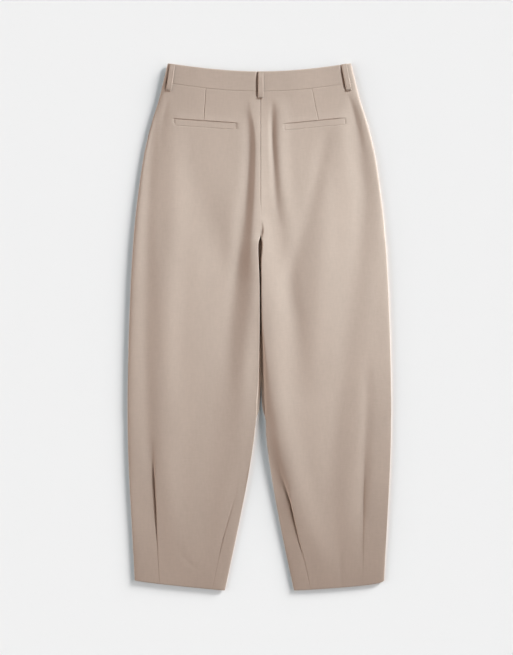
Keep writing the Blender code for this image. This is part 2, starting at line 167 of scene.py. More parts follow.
Fold = namedtuple("Fold", "drop x rise width")
SOFT_FOLDS = tables_of(
    Fold,
    seat_trough_left=[
        (90, -27, 0.0, 8),
        (130, -23, -0.8, 9),
        (210, -24, -1.3, 11),
        (269, -28, -1.8, 13),
        (330, -36, -2.0, 14),
        (387, -42, -2.0, 13),
        (466, -52, -1.4, 15),
        (560, -61, -1.0, 17),
        (660, -66, 0.0, 18),
    ],
    seat_trough_right=[
        (72, 26, 0.0, 6),
        (110, 25.5, -1.6, 6),
        (151, 26, -2.1, 6),
        (210, 29, -1.7, 7),
        (269, 33, -1.0, 8),
        (330, 40, 0.0, 10),
    ],
    seat_crest_right=[
        (66, 42, 0.0, 15),
        (90, 42, 1.2, 15),
        (220, 42, 1.9, 15),
        (290, 52, 1.2, 16),
        (390, 66, 0.0, 16),
    ],
    seat_drag_right=[
        (120, 138, 0.0, 14),
        (171, 126, -1.1, 15),
        (269, 104, -1.3, 16),
        (340, 84, -1.0, 17),
        (417, 62, -2.4, 18),
        (525, 71, -1.8, 20),
        (604, 78, -1.0, 20),
        (690, 84, 0.0, 20),
    ],
    thigh_crest_right=[
        (200, 132, 0.0, 26),
        (290, 128, 1.3, 27),
        (390, 121, 2.2, 28),
        (525, 115, 1.7, 28),
        (640, 104, 0.9, 28),
        (740, 96, 0.0, 28),
    ],
    hip_trough_right=[
        (60, 180, 0.0, 12),
        (100, 184, -1.8, 15),
        (171, 194, -2.4, 18),
        (269, 205, -2.4, 21),
        (368, 196, -2.2, 24),
        (466, 183, -1.6, 25),
        (604, 168, -1.5, 24),
        (720, 152, -1.9, 23),
        (840, 144, -1.4, 24),
        (930, 152, -0.9, 22),
        (1010, 160, 0.0, 20),
    ],
    inner_crest_right=[
        (300, 8, 0.0, 20),
        (368, 8, 3.0, 24),
        (440, 10, 3.0, 26),
        (525, 18, 2.4, 26),
        (604, 28, 2.3, 24),
        (683, 38, 2.5, 24),
        (762, 52, 2.8, 26),
        (840, 72, 2.8, 27),
        (919, 95, 2.1, 28),
        (1000, 124, 0.5, 28),
        (1039, 128, 0.0, 28),
    ],
    outer_trough_right=[
        (560, 214, 0.0, 9),
        (683, 212, -1.2, 11),
        (762, 208, -1.6, 11),
        (840, 206, -1.2, 10),
        (930, 205, 0.0, 9),
    ],
    thigh_crest_left=[
        (80, -160, 0.0, 18),
        (150, -166, 0.9, 22),
        (269, -168, 1.7, 25),
        (368, -176, 2.1, 27),
        (466, -182, 2.4, 28),
        (683, -186, 2.2, 28),
        (840, -182, 2.2, 28),
        (919, -172, 1.4, 28),
        (1000, -160, 0.0, 28),
    ],
    hip_trough_left=[
        (80, -192, 0.0, 9),
        (140, -208, -1.4, 12),
        (269, -220, -1.5, 14),
        (466, -224, -1.3, 16),
        (663, -222, -1.0, 14),
        (791, -216, -0.8, 12),
        (860, -212, 0.0, 10),
    ],
    thigh_trough_left=[
        (171, -124, 0.0, 30),
        (269, -107, -1.0, 34),
        (340, -88, -1.9, 38),
        (417, -66, -2.4, 40),
        (525, -70, -2.5, 40),
        (604, -78, -2.1, 40),
        (762, -94, -1.4, 38),
        (900, -98, -1.1, 34),
        (1000, -104, 0.0, 30),
    ],
    inner_crest_left=[
        (340, -12, 0.0, 16),
        (417, -14, 2.4, 17),
        (525, -22, 2.2, 18),
        (604, -30, 1.9, 18),
        (700, -34, 0.9, 18),
        (800, -44, 0.0, 18),
    ],
    inseam_crest_left=[
        (810, -60, 0.0, 12),
        (850, -68.5, 0.45, 12),
        (890, -75.5, 0.55, 12),
        (939, -83.5, 0.4, 12),
        (990, -94, 0.0, 12),
    ],
    hem_crease_left=[
        (940, -165, 0.0, 6),
        (965, -155, -0.2, 7),
        (985, -138, -0.28, 7),
        (1003, -117, 0.0, 6),
    ],
    hem_crease_right=[
        (940, 158, 0.0, 3),
        (985, 159, -0.35, 4),
        (1045, 163, -0.3, 4),
    ],
    hip_line_left=[
        (60, -178, 0.0, 5),
        (100, -187, -0.6, 6),
        (150, -193, -0.4, 8),
        (210, -196, 0.0, 9),
    ],
    hip_line_right=[
        (62, 176, 0.0, 4),
        (95, 186, -0.7, 6),
        (140, 196, -0.6, 7),
        (200, 206, 0.0, 8),
    ],
)

# The fold that the seat seam runs down: steep on its left, and falling slowly on its right
Ridge = namedtuple("Ridge", "drop x rise left right")
SEAT_RIDGE = rows_of(
    Ridge,
    (66, -14, 0.0, 6, 18),
    (92, -15, 0.9, 7, 22),
    (120, -10, 1.7, 6.5, 22),
    (151, -7, 2.4, 6.5, 22),
    (210, -7.5, 2.9, 7, 23),
    (269, -9, 3.3, 9, 25),
    (328, -12, 3.1, 11, 26),
    (380, -15, 1.8, 12, 22),
    (430, -18, 0.0, 12, 18),
)
RIGHT_LEG_RIDGE = rows_of(
    Ridge,
    (560, 34, 0.2, 22, 50),
    (640, 34, 1.2, 22, 55),
    (683, 36, 2.8, 24, 60),
    (780, 46, 3.2, 24, 60),
    (860, 60, 2.4, 25, 50),
    (940, 80, 1.2, 25, 45),
    (1039, 100, 0.0, 25, 40),
)

# The hem darts and a tuck at the crotch. Such a line is a step: the cloth on its left lies lower,
# and comes back up over one width, and on its right it rises over the other. A very small width
# on the right is a laid-over edge. The cloth also sinks so beside the belt loops.
Dart = namedtuple("Dart", "drop x sink left right")
DARTS = tables_of(
    Dart,
    hem_dart_left_outer=[
        (735, -211, 0.0, 14, 6),
        (771, -209.8, 0.9, 18, 3),
        (801, -207.6, 1.4, 30, 1.0),
        (821, -206.2, 1.6, 40, 0.4),
        (860, -204.4, 1.6, 45, 0.35),
        (885, -203.2, 1.5, 45, 0.35),
        (915, -202.4, 1.0, 45, 0.35),
        (940, -201.2, 0.6, 45, 0.35),
        (990, -199.0, 0.25, 45, 0.35),
        (1040, -197.0, 0.2, 45, 0.35),
    ],
    crevice_left_outer=[
        (780, -209.2, 0.0, 3.0, 1.0),
        (801, -207.6, 1.2, 3.0, 0.8),
        (821, -206.2, 2.3, 2.8, 0.4),
        (860, -204.4, 2.5, 2.4, 0.35),
        (885, -203.2, 2.6, 2.2, 0.35),
        (915, -202.4, 2.0, 1.5, 0.35),
        (940, -201.2, 0.9, 0.9, 0.35),
        (975, -199.6, 0.4, 0.8, 0.35),
        (1040, -197.0, 0.3, 0.8, 0.35),
    ],
    hem_dart_left_inner=[
        (815, -42, 0.0, 25, 6),
        (851, -47, 0.3, 25, 4),
        (890, -58.5, 0.4, 25, 1.5),
        (938, -71.5, 0.5, 25, 0.4),
        (990, -84.5, 0.2, 25, 0.35),
        (1040, -94, 0.12, 25, 0.35),
    ],
    crevice_left_inner=[
        (860, -50, 0.0, 2.0, 1.5),
        (890, -58.5, 0.5, 1.6, 1.0),
        (938, -71.5, 0.9, 0.9, 0.4),
        (965, -78.0, 0.5, 0.8, 0.35),
        (1040, -94, 0.2, 0.8, 0.35),
    ],
    hem_dart_right_inner=[
        (735, 30, 0.0, 40, 12),
        (770, 34.5, 1.2, 60, 11),
        (800, 40.8, 2.4, 70, 9),
        (830, 50.0, 2.6, 80, 5),
        (850, 56.7, 2.2, 80, 1.5),
        (865, 61.3, 1.7, 80, 0.4),
        (891, 67.0, 1.5, 80, 0.35),
        (938, 77.6, 0.9, 80, 0.35),
        (990, 91.5, 0.35, 80, 0.35),
        (1040, 101.5, 0.2, 80, 0.35),
    ],
    crevice_right_inner=[
        (815, 45.0, 0.0, 5.0, 4.0),
        (835, 51.7, 1.5, 4.5, 3.0),
        (850, 56.7, 2.3, 4.0, 1.2),
        (865, 61.3, 2.8, 3.5, 0.4),
        (891, 67.0, 2.6, 2.8, 0.35),
        (920, 73.3, 1.7, 1.5, 0.35),
        (938, 77.6, 1.4, 1.2, 0.35),
        (965, 84.7, 0.45, 0.8, 0.35),
        (1040, 101.5, 0.25, 0.8, 0.35),
    ],
    hem_dart_right_outer=[
        (750, 208.0, 0.0, 26, 9),
        (806, 206.8, 1.5, 26, 9),
        (850, 206.4, 1.9, 26, 8),
        (891, 205.7, 1.5, 24, 7),
        (938, 204.6, 0.7, 18, 5),
        (1000, 204.3, 0.0, 8, 2),
    ],
    hem_dart_right_line=[
        (812, 206.6, 0.0, 26, 1.6),
        (850, 206.2, 0.9, 26, 1.4),
        (891, 205.5, 0.9, 26, 1.2),
        (938, 204.2, 0.6, 26, 0.8),
        (990, 203.9, 0.2, 26, 0.5),
        (1040, 203.6, 0.12, 26, 0.5),
    ],
    beside_left_loop=[
        (-20, -173.0, 1.3, 1.8, 0.4),
        (2, -176.3, 1.3, 1.8, 0.4),
        (46, -183.0, 1.3, 1.8, 0.4),
        (54, -184.2, 0.0, 1.8, 0.4),
    ],
    beside_centre_loop=[
        (0, -2.9, 1.7, 2.4, 0.4),
        (60, -2.9, 1.7, 2.4, 0.4),
        (69, -2.9, 0.0, 2.0, 0.4),
    ],
    beside_right_loop=[
        (-20, 156.8, 1.7, 2.4, 0.4),
        (2, 161.0, 1.7, 2.4, 0.4),
        (46, 169.4, 1.7, 2.4, 0.4),
        (54, 170.9, 0.0, 2.0, 0.4),
    ],
    crotch_tuck=[
        (310, 3.5, 0.0, 10, 1.5),
        (322, 6.0, 0.8, 12, 0.6),
        (334, 6.5, 1.6, 14, 0.5),
        (342, 4.5, 1.3, 14, 0.5),
        (350, 2.5, 0.0, 14, 0.5),
    ],
)

# The inner edges of the legs, in millimetres. left_lift, right_lift: how far each inseam is above
# the side seams. ledge: how far the cloth runs on toward the other leg, at the bottom of the slit.
# left, right: how far in from there each back panel still rises.
InnerEdge = namedtuple("InnerEdge", "drop left_lift right_lift ledge left right")
INNER_EDGES = rows_of(
    InnerEdge,
    (330, -2.4, -2.4, 0.3, 0.8, 1.0),
    (341, -2.4, -2.4, 0.3, 0.8, 1.0),
    (352, -2.4, -2.4, 3.3, 0.35, 1.0),
    (366, -2.4, -2.4, 3.7, 0.35, 1.0),
    (384, -2.4, -2.4, 2.6, 0.35, 1.0),
    (426, -2.4, -2.4, 1.6, 0.35, 1.2),
    (505, -2.4, -2.4, 1.8, 0.35, 1.6),
    (530, -2.4, -2.4, 2.4, 0.35, 2.5),
    (584, -2.4, -2.4, 3.8, 0.35, 8.0),
    (620, -2.2, -2.3, 4.6, 0.35, 13),
    (643, -2.2, -2.2, 5.0, 0.3, 16),
    (663, -2.0, -1.8, 5.4, 0.3, 18),
    (683, -1.6, 0.0, 4.4, 0.3, 20),
    (700, -0.6, 2.2, 0.3, 0.3, 24),
    (730, 1.0, 2.6, 0.3, 0.4, 28),
    (780, 1.6, 2.0, 0.3, 1.0, 30),
    (820, 1.9, 1.2, 0.3, 8.0, 30),
    (900, 1.0, 0.4, 0.3, 20, 28),
    (990, 0.2, -0.2, 0.3, 24, 28),
    (1039, 0.0, 0.0, 0.3, 24, 28),
)
LEDGE_CLOTH = 0.0008

# Creases of the front, which lies underneath: they lift off the table into the hollow
FRONT_FOLDS = tables_of(
    Fold,
    front_crease_left=[
        (120, -100, 0.0, 16),
        (300, -150, 0.7, 20),
        (600, -165, 0.9, 24),
        (900, -150, 0.4, 18),
        (1000, -146, 0.0, 16),
    ],
    front_crease_right=[
        (110, 96, 0.0, 16),
        (260, 120, 0.6, 20),
        (520, 118, 0.8, 22),
        (760, 84, 0.7, 20),
        (960, 118, 0.0, 16),
    ],
    crotch_drag_left=[
        (230, -34, 0.0, 9),
        (330, -22, 0.6, 11),
        (420, -14, 0.7, 12),
        (540, -22, 0.0, 12),
    ],
    crotch_drag_right=[
        (210, 38, 0.0, 9),
        (320, 26, 0.6, 11),
        (440, 20, 0.8, 12),
        (560, 30, 0.0, 12),
    ],
)

# The waist darts are sewn from the waist seam to the pocket mouths
WAIST_DART_START = 0.0400
WAIST_DART_END = 0.1125
WAIST_DART_START_FADE = 0.004
WAIST_DART_END_FADE = 0.002
WAIST_DART_DEPTH = {"left": 0.00085, "right": 0.00050}
SEAM_DEPTH = 0.00085
SEAM_WIDTH = 0.00045
SEAM_ROUND = 0.00022
SEAM_ROUND_REACH = 0.0005
BAND_RISE = 0.00012
BAND_EDGE_ROUND = 0.0005
BAND_EDGE_REACH = 0.0010
HEM_ROUND = 0.0005
HEM_ROUND_REACH = 0.0010
PUCKER_RISE = 0.00006
PUCKER_LENGTH = 0.0085
PUCKER_REACH = 0.0100

# How the cloth wavers between its folds, all over: broad waves, with lower and finer ones on them
WAVER_RISE = 0.00011
WAVER_ACROSS = 0.026
WAVER_ALONG = 0.120
FINE_WAVER_SHARE = 0.4
FINE_WAVERS_ACROSS = 2.3
FINE_WAVERS_ALONG = 2.1

# Each pocket mouth's outer and inner end, as x and drop in metres. Its welt lies in a bed in the
# panel, with a gap around it. The welt's upper edge is rounded by WELT_ROUND of its thickness, and
# its sewn edges by WELT_FLUSH of that.
WELT_MOUTHS = {
    "left": ((-0.1658, 0.1097), (-0.0470, 0.1176)),
    "right": ((0.1672, 0.1080), (0.0497, 0.1194)),
}
MOUTH_LIP = 0.0005
MOUTH_LIP_REACH = 0.0090
WELT_BED = 0.0011
WELT_CLOTH = 0.0009
WELT_LIFT = -0.0010
WELT_EDGE = 0.0010
WELT_GAP = 0.0006
WELT_FLUSH = 0.35
WELT_ROUND = 0.5

# Each belt loop's upper and lower end, as x and drop in metres
BACK_LOOPS = {
    "centre": ((0.0023, 0.0164), (0.0023, 0.0694)),
    "left": ((-0.1710, 0.0018), (-0.1790, 0.0545)),
    "right": ((0.1662, 0.0018), (0.1762, 0.0545)),
}
FRONT_LOOPS = {
    "left": ((-0.1000, 0.0195), (-0.1030, 0.0720)),
    "right": ((0.1045, 0.0195), (0.1075, 0.0720)),
}

# A loop lies on this bed at its ends, springs up from them, and is a little hollow between the
# ridges along its long edges. Its edges are rounded by these shares of its thickness.
LOOP_BED = 0.0003
LOOP_SPRING = 0.0140
LOOP_EDGE = 0.0007
LOOP_EDGES_TO_RIDGE = 1.6
LOOP_HOLLOW = 0.00015
LOOP_END_CLOTH = 0.5
LOOP_ROUND_BELOW = 0.25
LOOP_ROUND_ABOVE = 0.45
TACK_STITCH = 0.0010
TACK_THREAD = 0.00045
TACK_WIDTH = BELT_LOOP_WIDTH * 0.8
TACK_HEIGHT = 0.0016
TACK_UP = 0.0022

# The flat cut of what shows of each piece of cloth, with its area in square millimetres
Cut = namedtuple("Cut", "width length area")

CLOTH_COLOUR = (0.50, 0.402, 0.336)
CLOTH_SHEEN = 0.10
CLOTH_ROUGHNESS = 0.78
FUZZ_ROUGHNESS = 0.16
FUZZ_HEIGHT = 0.5
FUZZ_PATCHES = 900.0
RIBS_PER_METRE = 1500.0
TWILL_SLOPE = 0.6
RIB_HEIGHT = 0.25
RIB_WANDER = 0.004
WARP_PATCHES = 260.0
WARP_STRETCH = (1.0, 0.25, 1.0)
WEFT_PATCHES = 420.0
WEFT_STRETCH = (0.18, 1.6, 1.0)
WEFT_HEIGHT = 0.8
NAP_PATCHES = 14.0
NAP_STRETCH = (1.0, 0.45, 1.0)
NAP_CONTRAST = 0.03
THREAD_CONTRAST = 0.06
BUMP_STRENGTH = 0.4
BUMP_HEIGHT = 0.00012
SEWING_THREAD_TONES = (0.62, 0.80)
PLY_PATCHES = 900.0

# The place of the key lamp and of the floor lamp
LAMP_DISTANCE = 3.20
LAMP_AZIMUTH = math.radians(42)
LAMP_ELEVATION = math.radians(13.5)
LAMP_PLACE = (
    LAMP_DISTANCE * math.cos(LAMP_ELEVATION) * math.cos(LAMP_AZIMUTH),
    LAMP_DISTANCE * math.cos(LAMP_ELEVATION) * math.sin(LAMP_AZIMUTH),
    LAMP_DISTANCE * math.sin(LAMP_ELEVATION),
)
# The share of the light that each gives, and the width of the floor lamp
KEY_SHARE = 0.45
FLOOR_KEY_SHARE = 0.43
FLOOR_LAMP_SIZE = 0.975
# The key lamp's beam is flattened across its length and rolled, so that its soft edges fall on the
# waist and the hems
BEAM_ANGLE = math.radians(50)
BEAM_ROLL = math.radians(14.5)
BEAM_FLATTENING = 0.195
BEAM_SOURCE = 0.15
BEAM_TARGET = (-0.05, 0.09, 0.0)
BEAM_GAIN = 1.20
BEAM_COLOUR = (0.93, 1.07, 1.14)
# The glow is that of two long warm screens, on the left and on the right. It grows between
# these sideways parts of its direction, and little of it comes from between the screens.
GLOW_COLOUR = (1.06, 0.94, 0.885)
GLOW_FROM = 0.60
GLOW_FULL = 0.92
GLOW_BETWEEN = 0.005
GLOW_LEVEL = 3.80
# A little light from the left makes up on the floor for the warmth of the glow
FLOOR_FILL = (0.0, 0.066, 0.096)
FLOOR_FILL_ANGLE = math.radians(60)
FLOOR_FILL_ELEVATION = math.radians(35)
FLOOR_FILL_PLACE = (-1.0, 0.0, math.tan(FLOOR_FILL_ELEVATION))
FLOOR_TONE = 0.871
FLOOR_MOTTLE = 0.003
FLOOR_SIZE = 30.0
FLOOR_LEVEL = -0.0001

# Straight over the trousers, as far off as a product photographer stands
CAMERA_PLACE = (-0.0057, -0.0010, 3.052)
CAMERA_LENS = 85.0
CAMERA_SENSOR = 36.0


def column_of(rows, column, drop):
    """The named column at each drop, in metres: a smooth curve through the table's rows."""
    at = np.array([row.drop for row in rows], float)
    value = np.array([getattr(row, column) for row in rows], float)
    steps = np.diff(value) / np.diff(at)
    slope = np.concatenate([steps[:1], (steps[:-1] + steps[1:]) / 2, steps[-1:]])
    place = np.clip(np.asarray(drop, float) / MM, at[0], at[-1])
    first = np.clip(np.searchsorted(at, place, side="right") - 1, 0, len(at) - 2)
    span = at[first + 1] - at[first]
    s = (place - at[first]) / span
    start = (1 + 2 * s) * (1 - s) ** 2 * value[first] + s * (1 - s) ** 2 * span * slope[first]
    end = s * s * (3 - 2 * s) * value[first + 1] + s * s * (s - 1) * span * slope[first + 1]
    return (start + end) * MM


def smooth_step(low, high, value):
    """From 0 at low to 1 at high, with level ends."""
    share = np.clip((value - low) / (high - low), 0.0, 1.0)
    return share * share * (3 - 2 * share)


def rise(distance, reach, power):
    """How far cloth has risen, from 0 at a folded edge to 1, at this distance in from the edge."""
    left = 1.0 - np.clip(distance / reach, 0.0, 1.0)
    return (1.0 - left**power) ** (1.0 / power)


def bell(distance, width):
    """1 on a line, and nearly 0 from two widths away."""
    return np.exp(-((distance / width) ** 2))


def within(rows, drop):
    """True where a drop is between the table's first and last rows."""
    return (drop >= rows[0].drop * MM) & (drop <= rows[-1].drop * MM)


def folds_at(tables, x, drop):
    """How far soft folds lift the cloth, or sink it."""
    total = np.zeros_like(x)
    for rows in tables.values():
        lift = within(rows, drop) * column_of(rows, "rise", drop)
        across = x - column_of(rows, "x", drop)
        total += lift * bell(across, column_of(rows, "width", drop))
    return total


def ridge_lift(x, drop):
    """How far the folds down the seat and the right leg lift the cloth."""
    total = np.zeros_like(x)
    for rows in (SEAT_RIDGE, RIGHT_LEG_RIDGE):
        across = x - column_of(rows, "x", drop)
        left = column_of(rows, "left", drop)
        right = column_of(rows, "right", drop)
        total += column_of(rows, "rise", drop) * bell(across, np.where(across < 0, left, right))
    return total


def dart_sink(x, drop):
    """How far the cloth sinks to the hem darts, the tuck at the crotch and the belt loops."""
    total = np.zeros_like(x)
    for rows in DARTS.values():
        sink = within(rows, drop) * column_of(rows, "sink", drop)
        across = x - column_of(rows, "x", drop)
        hollow = bell(across, column_of(rows, "left", drop))
        wall = np.exp(-np.abs(across) / column_of(rows, "right", drop))
        total += sink * np.where(across < 0, hollow, wall)
    return total


class Waver:
    """A smooth uneven surface of heights from -1 to 1, the same on every run."""

    SIZE = 64

    def __init__(self, seed):
        self.grid = np.random.default_rng(seed).uniform(-1, 1, (self.SIZE, self.SIZE))

    def at(self, u, v):
        """The height at a place, which is counted in the grid's steps and may lie past its ends."""
        iu, iv = np.floor(u).astype(int), np.floor(v).astype(int)
        su, sv = smooth_step(0, 1, u - iu), smooth_step(0, 1, v - iv)
        rows = [(iu + i) % self.SIZE for i in (0, 1)]
        columns = [(iv + j) % self.SIZE for j in (0, 1)]
        corner = [[self.grid[row, column] for column in columns] for row in rows]
        near = corner[0][0] + sv * (corner[0][1] - corner[0][0])
        far = corner[1][0] + sv * (corner[1][1] - corner[1][0])
        return near + su * (far - near)


CLOTH_WAVER = Waver(11)
PUCKER_WAVER = Waver(23)


def cloth_waver(x, drop):
    """How far the cloth wavers. The fine waves are read from another place in the grid."""
    across, along = x / WAVER_ACROSS, drop / WAVER_ALONG
    broad = CLOTH_WAVER.at(across + 20, along)
    fine = CLOTH_WAVER.at(across * FINE_WAVERS_ACROSS + 7, along * FINE_WAVERS_ALONG + 31)
    return WAVER_RISE * (broad + FINE_WAVER_SHARE * fine)


def sewn(distance, along, depth):
    """A sewn line in cloth: a fine groove, with uneven puckers that differ on its two sides."""
    away = np.abs(distance)
    pucker = PUCKER_WAVER.at(along / PUCKER_LENGTH + 5, np.sign(distance) * 3 + 9)
    ripple = PUCKER_RISE * pucker * bell(away, PUCKER_REACH) * smooth_step(0, SEAM_WIDTH * 3, away)
    return ripple - depth * bell(away, SEAM_WIDTH)


def edges_of(side, drop):
    """The x of the side fold and of the inner edge of one half, at each drop."""
    sign = SIDES[side]
    lean = column_of(SECTIONS, "lean", drop)
    half_gap = np.maximum(column_of(SECTIONS, "inseam", drop), SEAM_GAP / 2)
    fold = sign * column_of(SECTIONS, "side", drop)
    half_gap = np.maximum(half_gap - column_of(INNER_EDGES, "ledge", drop), SEAM_GAP / 2)
    return fold, lean + sign * half_gap


def waist_edge(share, dip, lower):
    """The drop of the waistband's top edge, or of the waist seam below it, at a share of the way
    from the side to the middle."""
    bow = np.sin(share * math.pi / 2)
    return lower * BAND_HEIGHT + (dip + lower * SEAM_DIP_MORE) * bow


def hem_edge(side, share):
    """The drop of the hem, at a share of the way from the side to the inner edge."""
    return HEM_AT_SIDE + HEM_SLANT * share ** HEM_BOW[side]


def mouth_shape(side, x, drop):
    """The bed that a welt lies in, and the lip of the pocket mouth over its upper edge."""
    (start_x, start_drop), (end_x, end_drop) = WELT_MOUTHS[side]
    along = (x - start_x) / (end_x - start_x)
    below = drop - start_drop - along * (end_drop - start_drop)
    past_end = np.maximum(-along, along - 1) * abs(end_x - start_x)
    past_side = np.maximum(-below, below - WELT_HEIGHT)
    bed = smooth_step(WELT_GAP, 0, past_end) * smooth_step(WELT_GAP, 0, past_side)
    lip = smooth_step(0, WELT_EDGE, -below) * bell(below, MOUTH_LIP_REACH)
    lip = lip * (1 - smooth_step(-MOUTH_LIP_REACH, MOUTH_LIP_REACH / 2, past_end))
    return MOUTH_LIP * lip - WELT_BED * bed


def back_finish(side, x, drop):
    """The finer form of the back: how the cloth wavers, and its seams, darts and pocket mouth."""
    inner = edges_of(side, drop)[1]
    seat = 1 - smooth_step(SEAT_SEAM_END - SEAT_SEAM_FADE, SEAT_SEAM_END, drop)
    total = cloth_waver(x, drop) + seat * sewn(x - inner, drop, SEAM_DEPTH)
    dart = smooth_step(WAIST_DART_START, WAIST_DART_START + WAIST_DART_START_FADE, drop)
    dart = dart * smooth_step(WAIST_DART_END, WAIST_DART_END - WAIST_DART_END_FADE, drop)
    from_dart = x - column_of(CREASES, side + "_mid", drop)
    total += dart * sewn(from_dart, drop, WAIST_DART_DEPTH[side])
    return total + mouth_shape(side, x, drop)


def surface(side, share, drop, under, inset, finished=True):
    """Points of the trousers' skin. share runs from the side fold, 0, to the inner edge, 1. The
    back panels are over the seams and the front panels under them. inset is how far the points
    lie inside the outer skin. The skin is without its finer form if it isn't finished."""
    sign = SIDES[side]
    fold, inner = edges_of(side, drop)
    rolled = smooth_step(ROLL_START, CROTCH, drop)
    fold = fold - sign * inset
    inner = inner + sign * inset * rolled
    x = fold + share * (inner - fold)
    from_side = np.abs(x - fold)
    from_inner = np.abs(x - inner)
    inseam_lift = rolled * column_of(INNER_EDGES, side + "_lift", drop)
    side_lift = SIDE_LIFT[side] * smooth_step(*SIDE_LIFT_STARTS, drop)
    side_lift = side_lift * smooth_step(*SIDE_LIFT_ENDS, drop)
    seam = column_of(SECTIONS, "seam", drop) + inseam_lift * bell(from_inner, INSEAM_LIFT_REACH)
    seam = seam + side_lift * bell(from_side, SIDE_LIFT_REACH)
    clear = smooth_step(0.0, FOLD_CLEAR_OF_EDGE, from_side)
    if under:
        clear = clear * (1 - rolled * (1 - smooth_step(0.0, FOLD_CLEAR_OF_EDGE, from_inner)))
        base = np.maximum(column_of(SECTIONS, "base", drop), 0.0)
        level = base + clear * folds_at(FRONT_FOLDS, x, drop) + inset
        at_side = rise(from_side, UNDER_ROLL, ROUND)
        at_inner = rise(from_inner, UNDER_ROLL, ROUND)
        seam = seam - SEAM_GAP / 2
    else:
        folds = folds_at(SOFT_FOLDS, x, drop) + ridge_lift(x, drop) - dart_sink(x, drop)
        finish = back_finish(side, x, drop) if finished else 0.0
        level = column_of(SECTIONS, "height", drop) + clear * (folds + finish) - inset
        at_side = rise(from_side, TOP_ROLL_SIDE, TOP_ROLL_SIDE_POWER)
        ledge = column_of(INNER_EDGES, "ledge", drop)
        from_top = np.maximum(from_inner - ledge, 0.0)
        at_inner = rise(from_top, column_of(INNER_EDGES, side, drop), TOP_ROLL_POWER)
        on_ledge = rolled * np.minimum(ledge / CLOTH, 1.0) * np.maximum(1 - inset / CLOTH, 0.0)
        seam = seam + SEAM_GAP / 2 + on_ledge * LEDGE_CLOTH
    z = seam + (level - seam) * at_side * (1 - rolled * (1 - at_inner))
    return np.stack([x, LENGTH / 2 - drop, z], axis=-1)


def crowded(count, crowding=0.88):
    """Shares from 0 to 1 that stand closer together near both ends. The last one is left out."""
    t = np.arange(count) / count
    return t - crowding * np.sin(2 * math.pi * t) / (2 * math.pi)


SIDE_STRIP = crowded(20, 0.93)
OUTER_STRIP = crowded(36, 0.96)
INNER_STRIP = crowded(36, 0.96)
INSEAM_STRIP = crowded(26, 0.95)
LEDGE_STRIP = np.append(crowded(5, 0.5), 1.0)

# The rows of points of a back panel, as shares of the way from the waist seam to the hem: they
# stand closest beside the pocket mouth, and a few more follow the turned edge of the hem
MOUTH_ROWS = (0.058, 0.085)
ROWS_ABOVE = 22
ROWS_BESIDE = 38
ROWS_BELOW = 300
HEM_ROWS = (0.0016, 0.0009, 0.0004)

# A column's x and its drop depend on each other, and so many rounds settle both
SETTLING_ROUNDS = 6


def back_drop(side, share, down):
    """The drop of a place on a back panel, given by its shares across and down it."""
    top = waist_edge(share, BACK_DIP, lower=1)
    return top + down * (hem_edge(side, share) - top)


def back_shares(side, down):
    """The shares across a back panel where its columns stand, for a column of shares down it."""
    stops = [np.zeros_like(down)]
    for name in ("_outer", "_mid", "_inner"):
        stop = np.full_like(down, 0.5)
        for _ in range(SETTLING_ROUNDS):
            drop = back_drop(side, stop, down)
            fold, inner = edges_of(side, drop)
            line = column_of(CREASES, side + name, drop)
            if name != "_mid":
                rows = DARTS["hem_dart_" + side + name]
                line = np.where(drop > rows[0].drop * MM, column_of(rows, "x", drop), line)
            stop = (line - fold) / (inner - fold)
        stops.append(stop)
    drop = back_drop(side, 1.0, down)
    fold, inner = edges_of(side, drop)
    stops.append(1 - column_of(INNER_EDGES, "ledge", drop) / np.abs(inner - fold))
    stops.append(np.ones_like(down))
    strips = (SIDE_STRIP, OUTER_STRIP, INNER_STRIP, INSEAM_STRIP, LEDGE_STRIP)
    places = [low + s * (high - low) for low, high, s in zip(stops, stops[1:], strips)]
    return np.concatenate(places, axis=-1)


def panel_rows():
    """Shares of the way from the waist seam to the hem, closer at the pocket mouths and ends."""
    top, bottom = MOUTH_ROWS
    above = crowded(ROWS_ABOVE) * top
    beside = top + np.arange(ROWS_BESIDE) / ROWS_BESIDE * (bottom - top)
    below = bottom + np.append(crowded(ROWS_BELOW, 0.45), 1.0) * (1 - bottom)
    return np.unique(np.concatenate([above, beside, below, 1 - np.array(HEM_ROWS)]))


def add_wall(name, outer, inner, material):
    """A closed wall of cloth between two skins. Each is an array of points, rows by columns."""
    rows, columns = outer.shape[:2]
    index = np.arange(rows * columns).reshape(rows, columns)
    a, b, c, d = index[:-1, :-1], index[:-1, 1:], index[1:, 1:], index[1:, :-1]
    top = np.stack([a, d, c, b], axis=-1).reshape(-1, 4)
    low = np.stack([a, b, c, d], axis=-1).reshape(-1, 4) + rows * columns
    rim = np.concatenate([index[0, :-1], index[:-1, -1], index[-1, :0:-1], index[:0:-1, 0]])
    after = np.roll(rim, -1)
    walls = np.stack([rim, after, after + rows * columns, rim + rows * columns], axis=-1)
    points = np.concatenate([outer.reshape(-1, 3), inner.reshape(-1, 3)])
    quads = np.concatenate([top, low, walls])
    mesh = bpy.data.meshes.new(name)
    mesh.from_pydata(points.tolist(), [], quads.tolist())
    if not facing_out(points, quads):
        mesh.flip_normals()
    mesh.shade_smooth()
    mesh.materials.append(material)
    piece = bpy.data.objects.new(name, mesh)
    bpy.context.scene.collection.objects.link(piece)
    return piece


def facing_out(points, quads):
    """True if a closed shape's faces look out of it."""
    a, b, c, d = (points[quads[:, i]] for i in range(4))
    volume = (np.cross(b - a, c - a) * a).sum() + (np.cross(c - a, d - a) * a).sum()
    return volume > 0


